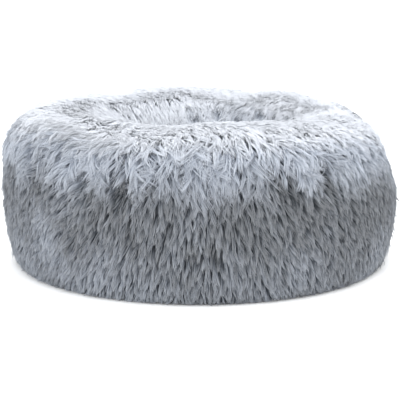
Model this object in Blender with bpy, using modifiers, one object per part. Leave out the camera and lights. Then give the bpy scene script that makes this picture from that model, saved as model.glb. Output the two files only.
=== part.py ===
"""Round pet cushion bed: a fur-covered ring bolster on an anti-slip base, with a loose fur cushion in its
well and a zip round the lower back edge that opens the cover. Metres, +Z up, standing on Z = 0."""

import math

import bmesh
import bpy
from mathutils import Matrix, Vector

# Overall size. Each soft cover's thickness takes in its laid pile, so these are sizes over the fur.
OUTER_RADIUS = 0.300
HEIGHT = 0.236
WELL_RADIUS = 0.140  # at the well's waist, its narrowest
BELT_HEIGHT = 0.118  # height of the bed's widest circle
WAIST_HEIGHT = 0.125  # height of the well's narrowest circle
FOOT_TUCK = 0.017  # how far the fur draws in from the belt to the floor
WELL_FLARE = 0.010  # how far the well widens from its waist to its floor
CREST_SHARE = 0.47  # where the crest lies across the bolster, from the well to the outside
SHOULDER_POWER = 2.6  # superellipse powers: 2 is round, more is boxier
BROW_POWER = 2.3

PILE = 0.014  # fur cloth with its pile laid down
LINER_WALL = 0.0012
GAP = 0.0003  # between pieces that touch

# Base
BASE_RADIUS = 0.262
BASE_THICKNESS = 0.0020
BINDING_WIDTH = 0.0034
BINDING_HEIGHT = 0.0060
FLOOR_CLOTH = 0.0012
FUR_HEM_HEIGHT = 0.0010  # the hem of the outer fur above the floor

# Cushion
CUSHION_CLEARANCE = 0.0015  # to the well's waist, all round
CUSHION_THICKNESS = 0.086
CUSHION_BELT = 0.036  # height of its widest circle above its underside
CUSHION_TUCK = 0.010
CUSHION_PILE = 0.012
CUSHION_POWER = 2.7
CUSHION_CLOTH = 0.0010
FILLING_HOLE_RADIUS = 0.006  # hand-stitched opening of an insert's case, at its underside

# Zip: a coil zip whose chain runs round the lower back edge
ZIP_HEIGHT = 0.0170  # of the chain's middle above the floor
TAPE_WIDTH = 0.0137
TAPE_THICKNESS = 0.0008
COIL_WIDTH = 0.0030
COIL_THICKNESS = 0.0022
COIL_SPLIT = 0.0004  # between the two closed coils
TAPE_SPLIT = 0.0006
FUR_OVERLAP = 0.0045  # how far the upper tape runs up behind the fur
SEGMENT = math.radians(7.5)  # one facet of every turned piece
WINDOW_START, WINDOW_END = 5 * SEGMENT, 19 * SEGMENT  # the gap in the fur, from +X towards +Y
TAPE_START, TAPE_END = 4 * SEGMENT, 20 * SEGMENT
CHAIN_START, CHAIN_END = math.radians(44.5), math.radians(135.5)
STOP_LENGTH = math.radians(1.1)
STOP_GAP = math.radians(0.15)
STOP_RISE = 0.0010  # of a stop over the coils

# Slider and pull, in the slider's own frame: X along the chain, Y outwards, Z up
SLIDER_ANGLE = math.radians(133.5)  # closed
SLIDER_LENGTH = 0.0130
SLIDER_PLATE = 0.0014
SLIDER_FLANGE = 0.0008
BRIDGE_LENGTH = 0.0088
BRIDGE_WIDTH = 0.0030
BRIDGE_POST = 0.0018
BRIDGE_BAR = 0.0014
PULL_THICKNESS = 0.0014
PULL_PLAY = 0.00035
PULL_LENGTH = 0.0300
PULL_WIDTH = 0.0076
PULL_RAIL = 0.0018
PULL_EYE = 0.0048

# Care label, sewn into the base seam and lying outwards under the fur
LABEL_ANGLE = 22 * SEGMENT
LABEL_LENGTH = 0.0300
LABEL_WIDTH = 0.0240
LABEL_THICKNESS = 0.0005

TURNS = round(math.tau / SEGMENT)


def clear_scene():
    for item in list(bpy.data.objects):
        bpy.data.objects.remove(item, do_unlink=True)


def collection(name):
    made = bpy.data.collections.new(name)
    bpy.context.scene.collection.children.link(made)
    return made


def material(name, colour, roughness, metallic=0.0):
    made = bpy.data.materials.new(name)
    made.use_nodes = True
    shader = made.node_tree.nodes["Principled BSDF"]
    shader.inputs["Base Color"].default_value = (*colour, 1.0)
    shader.inputs["Roughness"].default_value = roughness
    shader.inputs["Metallic"].default_value = metallic
    return made


def place(name, mesh, finish, home):
    item = bpy.data.objects.new(name, mesh)
    home.objects.link(item)
    if finish:
        mesh.materials.append(finish)
    return item


def as_cutter(item):
    item.hide_render = True
    item.display_type = "WIRE"
    return item


# Outlines are lists of (radius, height) pairs.


def superellipse(centre, reach, power, start, end, steps):
    """Points of a superellipse's quarter from angle start to end, in quarters of a turn."""
    points = []
    for i in range(steps + 1):
        angle = math.pi / 2 * (start + (end - start) * i / steps)
        x = abs(math.cos(angle)) ** (2 / power)
        z = abs(math.sin(angle)) ** (2 / power)
        points.append((centre[0] + reach[0] * x, centre[1] + reach[1] * z))
    return points


def flare(waist, height, floor, reach, steps):
    """Points from the waist's radius down to the floor, reach further out or in by a parabola."""
    points = []
    for i in range(1, steps + 1):
        share = i / steps
        points.append((waist + reach * share**2, height + (floor - height) * share))
    return points


def bolster_path(well_end):
    """Over the fur from the outer hem, over the crest and down the well to the height well_end."""
    crest = WELL_RADIUS + CREST_SHARE * (OUTER_RADIUS - WELL_RADIUS)
    outer = flare(OUTER_RADIUS, BELT_HEIGHT, FUR_HEM_HEIGHT, -FOOT_TUCK, 3)[::-1]
    shoulder = superellipse(
        (crest, BELT_HEIGHT), (OUTER_RADIUS - crest, HEIGHT - BELT_HEIGHT), SHOULDER_POWER, 0, 1, 6
    )
    brow = superellipse(
        (crest, WAIST_HEIGHT), (WELL_RADIUS - crest, HEIGHT - WAIST_HEIGHT), BROW_POWER, 1, 0, 5
    )
    inner = flare(WELL_RADIUS, WAIST_HEIGHT, well_end, WELL_FLARE, 2)
    return outer + shoulder + brow[1:] + inner


def cushion_path(bottom):
    """Over the cushion's fur from the hem of its side up to the crown on the axis."""
    radius = WELL_RADIUS - CUSHION_CLEARANCE
    side = flare(radius, bottom + CUSHION_BELT, bottom, -CUSHION_TUCK, 2)[::-1]
    dome = superellipse(
        (0, bottom + CUSHION_BELT), (radius, CUSHION_THICKNESS - CUSHION_BELT), CUSHION_POWER, 0, 1, 6
    )
    return side + dome


def left_of(a, b):
    """The unit normal to the left of the way from a to b."""
    run = (Vector(b) - Vector(a)).normalized()
    return Vector((-run.y, run.x))


def inset(path, distance):
    """The path moved to its left by distance, with mitred corners. Its ends slide along their hem or axis."""
    sides = [left_of(a, b) for a, b in zip(path, path[1:])]
    moved = []
    for i, (radius, height) in enumerate(path):
        if 0 < i < len(path) - 1:
            middle = (sides[i - 1] + sides[i]).normalized()
            step = middle * (distance / middle.dot(sides[i]))
        else:
            end = sides[0] if i == 0 else sides[-1]
            level = abs(end.x) > abs(end.y) and radius > 0
            step = Vector((distance / end.x, 0)) if level else Vector((0, math.copysign(distance, end.y)))
        moved.append((radius + step.x, height + step.y))
    return moved


def turned(name, outline, finish, home):
    """A closed outline turned a full circle about Z."""
    area = sum(a[0] * b[1] - b[0] * a[1] for a, b in zip(outline, outline[1:] + outline[:1]))
    if area > 0:
        outline = outline[::-1]
    mesh = bpy.data.meshes.new(name)
    edges = [(i, (i + 1) % len(outline)) for i in range(len(outline))]
    mesh.from_pydata([(r, 0, z) for r, z in outline], edges, [])
    item = place(name, mesh, finish, home)
    screw = item.modifiers.new("turn", "SCREW")
    screw.steps = screw.render_steps = TURNS
    screw.use_merge_vertices = True
    screw.merge_threshold = 0.00001
    screw.use_smooth_shade = True
    return item


def arc_bar(name, inner, outer, low, high, start, end, finish, home):
    """A bar of rectangular section bent round Z from start to end, with the turned pieces' facets."""
    facets = range(math.floor(start / SEGMENT + 0.001) + 1, math.ceil(end / SEGMENT - 0.001))
    stations = [start, *(facet * SEGMENT for facet in facets), end]
    mesh = bpy.data.meshes.new(name)
    shape = bmesh.new()
    corners = [(inner, low), (outer, low), (outer, high), (inner, high)]
    turn = Matrix.Rotation(start, 3, "Z")
    section = shape.faces.new([shape.verts.new(turn @ Vector((r, 0, z))) for r, z in corners])
    tip = [section, *section.edges, *section.verts]
    for a, b in zip(stations, stations[1:]):
        spun = bmesh.ops.spin(shape, geom=tip, cent=(0, 0, 0), axis=(0, 0, 1), angle=b - a, steps=1)
        tip = spun["geom_last"]
    bmesh.ops.recalc_face_normals(shape, faces=shape.faces)
    shape.to_mesh(mesh)
    shape.free()
    return place(name, mesh, finish, home)


def box(name, low, high, finish, home, frame=Matrix.Identity(4)):
    """A box from corner low to corner high in the given frame."""
    mesh = bpy.data.meshes.new(name)
    shape = bmesh.new()
    low, high = Vector(low), Vector(high)
    size = Matrix.Diagonal((*(high - low), 1))
    bmesh.ops.create_cube(shape, size=1, matrix=Matrix.Translation((low + high) / 2) @ size)
    shape.to_mesh(mesh)
    shape.free()
    item = place(name, mesh, finish, home)
    item.matrix_world = frame
    return item


def combine(item, other, operation):
    """A Boolean of the item with a helper shape, which isn't a piece itself."""
    step = item.modifiers.new(operation.lower(), "BOOLEAN")
    step.operation = operation
    step.object = as_cutter(other)


def above_hem(path):
    """What is left of a bolster's path once its outer end stops over the zip."""
    first = next(i for i, point in enumerate(path) if point[1] > HEM_TOP + 2 * GAP)
    return path[first:]


def disc(name, radius, low, high, finish, home):
    """A flat round piece about Z."""
    return turned(name, [(0, low), (radius, low), (radius, high), (0, high)], finish, home)


# Levels and radii that several pieces share, from the floor up and from the base panel's edge out.

FLOOR_CLOTH_LOW = BASE_THICKNESS + GAP
FLOOR_CLOTH_TOP = FLOOR_CLOTH_LOW + FLOOR_CLOTH
WELL_END = FLOOR_CLOTH_TOP + GAP
BINDING_INNER = BASE_RADIUS + GAP
BINDING_OUTER = BINDING_INNER + BINDING_WIDTH
TAPE_INNER = BINDING_OUTER + GAP
TAPE_OUTER = TAPE_INNER + TAPE_THICKNESS
COIL_INNER = TAPE_OUTER + GAP
COIL_OUTER = COIL_INNER + COIL_THICKNESS
WINDOW_TOP = ZIP_HEIGHT + TAPE_SPLIT / 2 + TAPE_WIDTH - FUR_OVERLAP
HEM_TOP = ZIP_HEIGHT + TAPE_SPLIT / 2 + TAPE_WIDTH + GAP  # the fur's backing stands straight below this


def base(fabric, binding, home):
    disc("base_panel", BASE_RADIUS, 0, BASE_THICKNESS, fabric, home)
    outline = [
        (BINDING_INNER, GAP),
        (BINDING_OUTER, GAP),
        (BINDING_OUTER, BINDING_HEIGHT),
        (BINDING_INNER, BINDING_HEIGHT),
    ]
    turned("base_binding", outline, binding, home)


def bolster(fur, lining, fibre, home, cutters):
    path = bolster_path(WELL_END)
    backing = [(COIL_INNER, FUR_HEM_HEIGHT), (COIL_INNER, HEM_TOP), *above_hem(inset(path, PILE))]
    cover = turned("bolster_cover", path + backing[::-1], fur, home)
    reach = OUTER_RADIUS + PILE
    span = (WINDOW_START, WINDOW_END)
    window = arc_bar("zip_window", BASE_RADIUS, reach, -PILE, WINDOW_TOP, *span, None, cutters)
    combine(cover, window, "DIFFERENCE")

    floor = FLOOR_CLOTH_LOW
    inside = inset(backing, GAP)[2:]
    side = TAPE_INNER - GAP
    outer = (BINDING_INNER - BINDING_WIDTH, floor)
    well_side = inside[-1][0]
    middle = (outer[0] + well_side) / 2
    case = [
        (middle + FILLING_HOLE_RADIUS, floor),
        outer,
        (side, floor + 2 * BINDING_HEIGHT),
        (side, HEM_TOP),
        *inside[:-1],
        (well_side + GAP, floor),
        (middle - FILLING_HOLE_RADIUS, floor),
    ]
    turned("bolster_liner", case + inset(case, LINER_WALL)[::-1], lining, home)
    turned("bolster_fill", inset(case, LINER_WALL + GAP), fibre, home)

    disc("well_floor", well_side - 2 * GAP, FLOOR_CLOTH_LOW, FLOOR_CLOTH_TOP, lining, home)


def cushion(fur, lining, fibre, home):
    path = cushion_path(WELL_END)
    shell = inset(path, CUSHION_PILE)
    turned("cushion_cover", path + shell[::-1], fur, home)
    radius = shell[0][0] - GAP
    disc("cushion_base", radius, WELL_END, WELL_END + CUSHION_CLOTH, lining, home)

    floor = WELL_END + CUSHION_CLOTH + GAP
    case = inset(path, CUSHION_PILE + GAP)
    case = [(FILLING_HOLE_RADIUS, floor), (case[0][0], floor), *case[1:]]
    turned("cushion_liner", case + inset(case, LINER_WALL)[::-1], lining, home)
    fill = inset(case, LINER_WALL + GAP)
    turned("cushion_fill", [(0, fill[0][1]), *fill[1:]], fibre, home)


def zip_tapes_and_chain(tape, nylon, metal, home):
    low, high = ZIP_HEIGHT - TAPE_SPLIT / 2, ZIP_HEIGHT + TAPE_SPLIT / 2
    sides = {"lower": (low - TAPE_WIDTH, low), "upper": (high, high + TAPE_WIDTH)}
    for side, (bottom, top) in sides.items():
        arc_bar(f"zip_tape_{side}", TAPE_INNER, TAPE_OUTER, bottom, top, TAPE_START, TAPE_END, tape, home)
    low, high = ZIP_HEIGHT - COIL_SPLIT / 2, ZIP_HEIGHT + COIL_SPLIT / 2
    sides = {"lower": (low - COIL_WIDTH, low), "upper": (high, high + COIL_WIDTH)}
    for side, (bottom, top) in sides.items():
        arc_bar(f"zip_coil_{side}", COIL_INNER, COIL_OUTER, bottom, top, CHAIN_START, CHAIN_END, nylon, home)
    half = COIL_SPLIT / 2 + COIL_WIDTH + SLIDER_FLANGE / 2
    ends = {"open": CHAIN_START - STOP_GAP - STOP_LENGTH, "closed": CHAIN_END + STOP_GAP}
    for name, start in ends.items():
        arc_bar(
            f"zip_stop_{name}",
            COIL_INNER,
            COIL_OUTER + STOP_RISE,
            ZIP_HEIGHT - half,
            ZIP_HEIGHT + half,
            start,
            start + STOP_LENGTH,
            metal,
            home,
        )


def slider_frame():
    """The slider's frame on the chain: X along the chain towards the open end, Y outwards, Z up."""
    turn = Matrix.Rotation(SLIDER_ANGLE - math.pi / 2, 4, "Z")
    outward = Vector((math.cos(SLIDER_ANGLE), math.sin(SLIDER_ANGLE), 0))
    return Matrix.Translation(outward * COIL_OUTER + Vector((0, 0, ZIP_HEIGHT))) @ turn


def slider(metal, home, cutters):
    frame = slider_frame()
    chain = COIL_SPLIT / 2 + COIL_WIDTH + GAP
    width = chain + SLIDER_FLANGE
    plate = GAP
    bar_low = plate + SLIDER_PLATE + 2 * PULL_PLAY + PULL_THICKNESS
    half = SLIDER_LENGTH / 2
    inner = COIL_INNER - COIL_OUTER + GAP / 2

    body = box("slider_body", (-half, inner, -width), (half, plate + SLIDER_PLATE, width), metal, home, frame)
    low, high = (-SLIDER_LENGTH, inner - PILE, -chain), (SLIDER_LENGTH, plate, chain)
    channel = box("slider_channel", low, high, None, cutters, frame)
    combine(body, channel, "DIFFERENCE")
    bridge = box(
        "slider_bridge",
        (-BRIDGE_LENGTH / 2, plate + SLIDER_PLATE / 2, -BRIDGE_WIDTH / 2),
        (BRIDGE_LENGTH / 2, bar_low + BRIDGE_BAR, BRIDGE_WIDTH / 2),
        None,
        cutters,
        frame,
    )
    combine(body, bridge, "UNION")
    reach = BRIDGE_LENGTH / 2 - BRIDGE_POST
    low, high = (-reach, plate + SLIDER_PLATE, -width), (reach, bar_low, width)
    eye = box("slider_eye", low, high, None, cutters, frame)
    combine(body, eye, "DIFFERENCE")

    axis = plate + SLIDER_PLATE + PULL_PLAY + PULL_THICKNESS / 2
    pivot = frame @ Matrix.Translation((0, axis, 0))
    thick = PULL_THICKNESS / 2
    low, high = (-thick, -thick, -PULL_WIDTH / 2), (PULL_LENGTH, thick, PULL_WIDTH / 2)
    pull = box("pull_tab", low, high, metal, home, pivot)
    slot = PULL_WIDTH / 2 - PULL_RAIL
    hole = box("pull_eye", (thick, -PILE, -slot), (thick + PULL_EYE, PILE, slot), None, cutters, pivot)
    combine(pull, hole, "DIFFERENCE")


def care_label(satin, home):
    turn = Matrix.Rotation(LABEL_ANGLE, 4, "Z")
    start = BINDING_OUTER + GAP
    box(
        "care_label",
        (start, -LABEL_WIDTH / 2, GAP / 2),
        (start + LABEL_LENGTH, LABEL_WIDTH / 2, GAP / 2 + LABEL_THICKNESS),
        satin,
        home,
        turn,
    )


clear_scene()
bed = collection("pet_cushion_bed")
helpers = collection("cutters")

fur_cloth = material("fur_cloth", (0.62, 0.65, 0.69), 0.95)
base_cloth = material("base_cloth", (0.10, 0.11, 0.12), 0.85)
binding_tape = material("binding_tape", (0.16, 0.17, 0.19), 0.85)
non_woven = material("non_woven", (0.80, 0.80, 0.80), 0.90)
polyester_fibre = material("polyester_fibre", (0.92, 0.92, 0.92), 1.00)
zip_tape = material("zip_tape", (0.35, 0.37, 0.40), 0.80)
nylon_coil = material("nylon_coil", (0.40, 0.42, 0.45), 0.45)
nickel = material("nickel", (0.62, 0.63, 0.65), 0.30, 1.0)
label_satin = material("label_satin", (0.90, 0.90, 0.88), 0.45)

base(base_cloth, binding_tape, bed)
bolster(fur_cloth, non_woven, polyester_fibre, bed, helpers)
cushion(fur_cloth, non_woven, polyester_fibre, bed)
zip_tapes_and_chain(zip_tape, nylon_coil, nickel, bed)
slider(nickel, bed, helpers)
care_label(label_satin, bed)
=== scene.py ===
"""A round deep pet bed in long-pile frosted faux fur, dressed round its CAD frame.

The sections follow the bed as it is put together: base, zip, bolster, centre cushion, label. Metres, +Z up.
"""
import math

import bmesh
import bpy
import numpy as np
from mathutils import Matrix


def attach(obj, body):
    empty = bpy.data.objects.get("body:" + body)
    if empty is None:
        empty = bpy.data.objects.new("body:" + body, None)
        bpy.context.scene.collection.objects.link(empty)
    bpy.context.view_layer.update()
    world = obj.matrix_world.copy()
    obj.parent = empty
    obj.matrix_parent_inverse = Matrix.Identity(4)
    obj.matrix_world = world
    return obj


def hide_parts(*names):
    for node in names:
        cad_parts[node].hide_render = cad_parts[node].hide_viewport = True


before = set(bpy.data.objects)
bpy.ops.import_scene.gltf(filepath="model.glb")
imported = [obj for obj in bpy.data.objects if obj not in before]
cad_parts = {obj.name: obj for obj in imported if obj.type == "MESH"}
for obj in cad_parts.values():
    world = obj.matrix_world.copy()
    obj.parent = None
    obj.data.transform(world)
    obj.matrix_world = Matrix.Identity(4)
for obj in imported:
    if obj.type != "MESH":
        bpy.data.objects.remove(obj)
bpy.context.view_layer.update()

# ---- Camera -------------------------------------------------------------------------------------------------------
# A long lens from a little above the rim, level across and looking down into the floor in front of the bed.
EYE = (0.0, -1.8, 0.451)
DOWNWARD = 11.43  # degrees
lens = bpy.data.cameras.new("camera")
lens.sensor_width = 36
lens.lens = 107.0
camera = bpy.data.objects.new("camera", lens)
camera.location = EYE
camera.rotation_euler = (math.radians(90 - DOWNWARD), 0, 0)
bpy.context.scene.collection.objects.link(camera)
bpy.context.scene.camera = camera

# ---- Base ---------------------------------------------------------------------------------------------------------
# A disc of coated woven polyester, sewn to the foot of the fur ring, with moulded anti-slip dots on its underside.
# It is cut to 524 mm across and stretched flat; the bed's whole weight is on it.
BASE_RADIUS, BASE_TOP, BASE_UNDER = 0.262, 0.0020, 0.0007
CANVAS_PITCH = 0.0008  # from one coarse thread to the next
DISC_TURNS = 120
BANDS_PER_METRE = 0.314  # the wave texture's scale for one band a metre


def linear(hex_colour):
    """An sRGB hex colour as linear RGBA."""
    rgb = [int(hex_colour[i:i + 2], 16) / 255 for i in (1, 3, 5)]
    return [c / 12.92 if c <= 0.04045 else ((c + 0.055) / 1.055) ** 2.4 for c in rgb] + [1.0]


def add(tree, kind, settings=None, **links):
    """One node with its settings and inputs; an input given as a socket is linked, else it is set."""
    node = tree.nodes.new(kind)
    for key, value in (settings or {}).items():
        setattr(node, key, value)
    for key, value in links.items():
        socket = node.inputs[int(key[1:])] if key[1:].isdigit() else node.inputs[key.replace("_", " ")]
        if isinstance(value, bpy.types.NodeSocket):
            tree.links.new(value, socket)
        else:
            socket.default_value = value
    return node


def bare_material(name, roughness, **fixed):
    """A new material, its node tree and its shader, with the values that are the same all over the surface."""
    material = bpy.data.materials.new(name)
    material.use_nodes = True
    tree = material.node_tree
    shader = tree.nodes["Principled BSDF"]
    shader.inputs["Roughness"].default_value = roughness
    for key, value in fixed.items():
        shader.inputs[key.replace("_", " ")].default_value = value
    return material, tree, shader


COLOURS = {"data_type": "RGBA"}


def woven(name, pitch, low, high, roughness, depth, **fixed):
    """Plain weave: threads that cross at the pitch, with an uneven dye."""
    material, tree, shader = bare_material(name, roughness, **fixed)
    place = add(tree, "ShaderNodeTexCoord").outputs["Object"]
    bands = [add(tree, "ShaderNodeTexWave", {"wave_type": "BANDS", "bands_direction": way}, Vector=place,
                 Scale=BANDS_PER_METRE / pitch, Distortion=0.6, Detail=1.0).outputs["Fac"] for way in ("X", "Y")]
    threads = add(tree, "ShaderNodeMath", {"operation": "MAXIMUM"}, _0=bands[0], _1=bands[1]).outputs[0]
    dye = add(tree, "ShaderNodeTexNoise", Vector=place, Scale=45.0, Detail=4.0).outputs["Fac"]
    shade = add(tree, "ShaderNodeMath", {"operation": "MULTIPLY"}, _0=threads, _1=dye).outputs[0]
    colour = add(tree, "ShaderNodeMix", COLOURS, _0=shade, _6=linear(low), _7=linear(high))
    tree.links.new(colour.outputs[2], shader.inputs["Base Color"])
    bump = add(tree, "ShaderNodeBump", Height=threads, Distance=depth, Strength=0.7)
    tree.links.new(bump.outputs[0], shader.inputs["Normal"])
    return material


def mesh_piece(name, points, faces, material, body):
    """A smooth piece from its points and faces, which rides on a body and takes the finish it is given."""
    mesh = bpy.data.meshes.new(name)
    mesh.from_pydata(np.asarray(points).tolist(), [], faces)
    mesh.polygons.foreach_set("use_smooth", np.ones(len(mesh.polygons), bool))
    mesh.update()
    mesh.materials.append(material)
    piece = bpy.data.objects.new(name, mesh)
    bpy.context.scene.collection.objects.link(piece)
    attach(piece, body)
    return piece


def loft(size, wrap_rows=False):
    """Faces of a grid of n rows of m points, each row a ring; rows that don't wrap are closed with a face each end."""
    n, m = size
    faces = []
    for i in range(n if wrap_rows else n - 1):
        for j in range(m):
            a, b = i * m + j, i * m + (j + 1) % m
            faces.append((a, b, (i + 1) % n * m + (j + 1) % m, (i + 1) % n * m + j))
    if not wrap_rows:
        faces.append(tuple(reversed(range(m))))
        faces.append(tuple(range((n - 1) * m, n * m)))
    return faces


def turned_points(profile, turns, ripple=lambda r, turn: 0 * r):
    """A profile of radius and height, turned about the bed's axis, with a ripple of its height."""
    profile = np.asarray(profile)
    turn = np.arange(turns) / turns * 2 * math.pi
    r = np.repeat(profile[:, 0], turns)
    z = np.repeat(profile[:, 1], turns)
    t = np.tile(turn, len(profile))
    return np.stack([r * np.cos(t), r * np.sin(t), z + ripple(r, t)], 1)


def disc_profile(radius, under, top, step=0.008):
    """Round a flat disc from the middle of its underside to the middle of its top."""
    out = np.concatenate([np.arange(0.001, radius - step / 2, step), [radius]])
    return [(r, under) for r in out] + [(r, top) for r in out[::-1]]


# Coated polyester canvas: a dull skin over a plain weave, with the threads still standing out a little.
coated_cloth = woven("pu-coated woven polyester, dark grey", CANVAS_PITCH, "#191B1E", "#3A3D41", 0.62, 0.0002)
profile = disc_profile(BASE_RADIUS, BASE_UNDER, BASE_TOP)
slack = turned_points(profile, DISC_TURNS, lambda r, t: 0.0001 * np.cos(9 * t) * np.sin(r * 80))
base = mesh_piece("base_cloth", slack, loft((len(profile), DISC_TURNS)), coated_cloth, "bed")
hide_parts("base_panel")

# Moulded PVC dots in rows set half a pitch over: a satin rubbery skin, unevenly dusty.
DOT_PITCH, DOT_RADIUS, DOTTED_RADIUS, DOT_SIDES = 0.013, 0.0019, 0.253, 10
ROW_SHARE = 0.866  # of the pitch, from row to row
DOT_STEPS = ((1.0, 0.0010), (1.0, 0.0006), (0.8, 0.0001), (0.4, 0.0))  # share of the radius, and height
dot_rubber, tree, shader = bare_material("moulded pvc dots, satin grey", 0.48)
place = add(tree, "ShaderNodeTexCoord").outputs["Object"]
dust = add(tree, "ShaderNodeTexNoise", Vector=place, Scale=220.0, Detail=3.0).outputs["Fac"]
colour = add(tree, "ShaderNodeMix", COLOURS, _0=dust, _6=linear("#4A4D50"), _7=linear("#7A7D80"))
tree.links.new(colour.outputs[2], shader.inputs["Base Color"])
reach = range(-24, 25)
spots = [((i + 0.5 * (j % 2)) * DOT_PITCH, j * DOT_PITCH * ROW_SHARE) for i in reach for j in reach]
dot_points, dot_faces = [], []
for x, y in spots:
    if math.hypot(x, y) >= DOTTED_RADIUS:
        continue
    first = len(dot_points)
    for r, z in DOT_STEPS:
        dot_points += [(x + r * DOT_RADIUS * math.cos(a), y - r * DOT_RADIUS * math.sin(a), z)
                       for a in np.arange(DOT_SIDES) / DOT_SIDES * 2 * math.pi]
    dot_faces += [tuple(first + v for v in face) for face in loft((len(DOT_STEPS), DOT_SIDES))]
mesh_piece("antislip_dots", dot_points, dot_faces, dot_rubber, "bed")

# A woven bias tape folded over the seam of base cloth and fur: narrow, matt and ribbed, a little puckered all along.
BINDING_MIDDLE, BINDING_THICK, BINDING_LOW, BINDING_HIGH = 0.2640, 0.0032, 0.0004, 0.0059
BINDING_WIDTH, BINDING_SIDES, BINDING_TURNS, PUCKER, STITCHES = 0.010, 14, 360, 0.00012, 180
TAPE_PITCH = 0.0006
bias_tape = woven("woven polyester bias tape, charcoal", TAPE_PITCH, "#22252A", "#4B5057", 0.8, 0.0002)
middle, half = (BINDING_HIGH + BINDING_LOW) / 2, (BINDING_HIGH - BINDING_LOW) / 2
profile = [(BINDING_MIDDLE + BINDING_THICK / 2 * np.sign(math.cos(a)) * abs(math.cos(a)) ** 0.6,
            middle + half * np.sign(math.sin(a)) * abs(math.sin(a)) ** 0.6)
           for a in np.arange(BINDING_SIDES) / BINDING_SIDES * 2 * math.pi]
binding = turned_points(profile, BINDING_TURNS)
round_bed = np.arange(BINDING_TURNS) / BINDING_TURNS * 2 * math.pi
pucker = np.tile(PUCKER * np.sin(round_bed * STITCHES), BINDING_SIDES)
binding[:, :2] *= (1 + pucker / BINDING_MIDDLE)[:, None]
piece = mesh_piece("base_bias_tape", binding, loft((BINDING_SIDES, BINDING_TURNS), wrap_rows=True), bias_tape,
                   "bed")
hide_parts("base_binding")

# The lining under the cushion: plain polyester taffeta, sewn to the foot of the well's wall, a little slack. A real
# taffeta's threads are far too fine to show, so they are drawn 0.7 mm apart.
TAFFETA_PITCH = 0.0007
taffeta = woven("polyester taffeta lining, pale grey", TAFFETA_PITCH, "#A9ABAD", "#DADBDC", 0.7, 0.00015)
WELL_CLOTH = 0.1635
profile = disc_profile(WELL_CLOTH, 0.0025, 0.0033, 0.004)
slack = turned_points(profile, DISC_TURNS, lambda r, t: 0.0002 * np.sin(7 * t + 90 * r) * np.sin(130 * r))
piece = mesh_piece("well_lining", slack, loft((len(profile), DISC_TURNS)), taffeta, "bed")
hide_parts("well_floor")

# ---- Zip ----------------------------------------------------------------------------------------------------------
# A nylon coil zip round the foot of the back, so the stuffing can come out to be washed. Two woven tapes carry a
# spun monofilament coil each; the slider and its pull are die-cast zinc, nickel plated.
TAPE_INNER, TAPE_OUTER, TAPE_RIB = 0.2660, 0.2668, 0.00008
TAPE_ENDS, TAPE_STEPS, TAPE_RIBS = (30, 150), 241, 9  # bearings in degrees, and points along and across
COIL_MIDDLE, COIL_DEPTH, COIL_HALF, COIL_PITCH = 0.2682, 0.00085, 0.00125, 0.0014
CHAIN_START, CHAIN_ARC, LOOP_STEPS = 44.5, 91, 10
WIRE_RADIUS, WIRE_SIDES = 0.00030, 5
# Each half: its name, its tape's lower and upper edge, its coil's height, and the hand of the coil.
HALVES = (("lower", 0.0030, 0.0167, 0.01545, 1), ("upper", 0.0173, 0.0310, 0.01855, -1))
tape_cloth = woven("woven polyester zip tape, grey", TAPE_PITCH, "#3A3E44", "#6A6F76", 0.8, 0.0002)
# Nylon monofilament: glossy and a little see-through, so its grey looks uneven.
nylon, tree, shader = bare_material("spun nylon monofilament, grey", 0.32)
place = add(tree, "ShaderNodeTexCoord").outputs["Object"]
depth = add(tree, "ShaderNodeTexNoise", Vector=place, Scale=300.0).outputs["Fac"]
colour = add(tree, "ShaderNodeMix", COLOURS, _0=depth, _6=linear("#858A91"), _7=linear("#BCC0C5"))
tree.links.new(colour.outputs[2], shader.inputs["Base Color"])


def arc_strip(profile, first, last, count, wave=0.0):
    """Points of a closed profile of radius and height, swept round the bed between two bearings in degrees."""
    profile = np.asarray(profile)
    turn = np.radians(np.linspace(first, last, count))[:, None]
    r = profile[None, :, 0] + wave * np.sin(turn * 150)
    return np.stack([r * np.cos(turn), r * np.sin(turn), np.broadcast_to(profile[None, :, 1], r.shape)],
                    -1).reshape(-1, 3)


for name, low, high, coil_z, hand in HALVES:
    steps = np.linspace(low, high, TAPE_RIBS)
    ribs = TAPE_RIB * np.cos(np.arange(TAPE_RIBS) * math.pi)
    profile = [(TAPE_OUTER - 0.0001 + rib, z) for z, rib in zip(steps, ribs)] \
        + [(TAPE_INNER, z) for z in steps[::-1]]
    points = arc_strip(profile, *TAPE_ENDS, TAPE_STEPS, 0.00006)
    piece = mesh_piece(f"zip_tape_{name}_cloth", points, loft((TAPE_STEPS, len(profile))), tape_cloth, "bed")
    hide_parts(f"zip_tape_{name}")
    turns = int(math.radians(CHAIN_ARC) * COIL_MIDDLE / COIL_PITCH)
    step = np.arange(turns * LOOP_STEPS + 1)
    at = np.radians(CHAIN_START) + step / step[-1] * math.radians(CHAIN_ARC)
    wind = step / LOOP_STEPS * 2 * math.pi * hand
    # The flattened loop of the coil, and the wire's two cross directions at each step.
    r, z = COIL_MIDDLE + COIL_DEPTH * np.cos(wind), coil_z + COIL_HALF * np.sin(wind)
    line = np.stack([r * np.cos(at), r * np.sin(at), z], 1)
    along = np.gradient(line, axis=0)
    along /= np.linalg.norm(along, axis=1)[:, None]
    round_bed = np.stack([-np.sin(at), np.cos(at), 0 * at], 1)
    out = np.cross(along, round_bed)
    out /= np.linalg.norm(out, axis=1)[:, None]
    over = np.cross(out, along)
    angle = (np.arange(WIRE_SIDES) / WIRE_SIDES * 2 * math.pi)[:, None]
    wire = line[:, None] + WIRE_RADIUS * (np.cos(angle) * over[:, None] + np.sin(angle) * out[:, None])
    piece = mesh_piece(f"zip_teeth_{name}", wire.reshape(-1, 3), loft((len(line), WIRE_SIDES)), nylon, "bed")
    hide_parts(f"zip_coil_{name}")

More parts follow.
